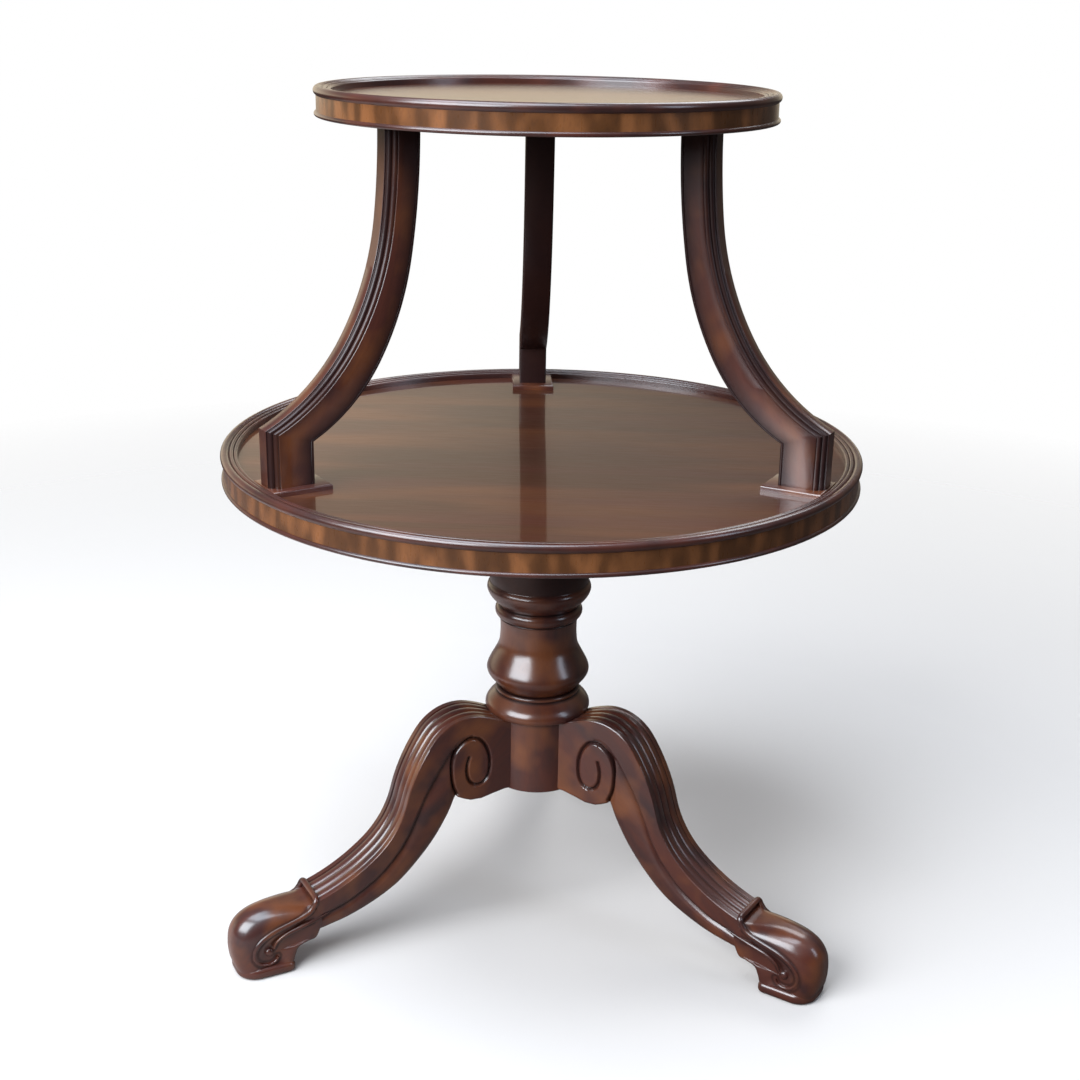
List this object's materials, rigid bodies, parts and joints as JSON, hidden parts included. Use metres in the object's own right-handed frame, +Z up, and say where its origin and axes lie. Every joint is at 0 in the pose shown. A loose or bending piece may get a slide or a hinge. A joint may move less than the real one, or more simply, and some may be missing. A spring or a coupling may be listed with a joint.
{
  "type": "tiered side table",
  "caption": "Round tiered side table: rimmed lower and upper tops joined by curved supports, on a turned column with carved scroll legs.",
  "frame": {"origin": "on the floor, under the axis of the column", "axes": "+Z up along the column, the pictured front facing -Y, +X to the right of the front"},
  "size_m": [0.6099, 0.638, 0.831],
  "materials": {
    "top_wood": "polished mahogany veneer",
    "rim_wood": "polished dark mahogany moulding",
    "frame_wood": "polished dark mahogany",
    "inner_wood": "unpolished hardwood",
    "iron": "wrought, dull"
  },
  "bodies": {
    "root": {"upper_panel": "top_wood", "upper_rim": "rim_wood", "upper_bead": "rim_wood", "lower_panel": "top_wood", "lower_rim": "rim_wood", "lower_bead": "rim_wood", "support_back": "frame_wood", "support_left": "frame_wood", "support_right": "frame_wood", "support_pad_back": "frame_wood", "support_pad_left": "frame_wood", "support_pad_right": "frame_wood", "bearer_block": "inner_wood", "column": "frame_wood", "tenon_wedge": "inner_wood", "leg_back": "frame_wood", "leg_left": "frame_wood", "leg_right": "frame_wood", "spider_plate": "iron"}
  },
  "joints": []
}
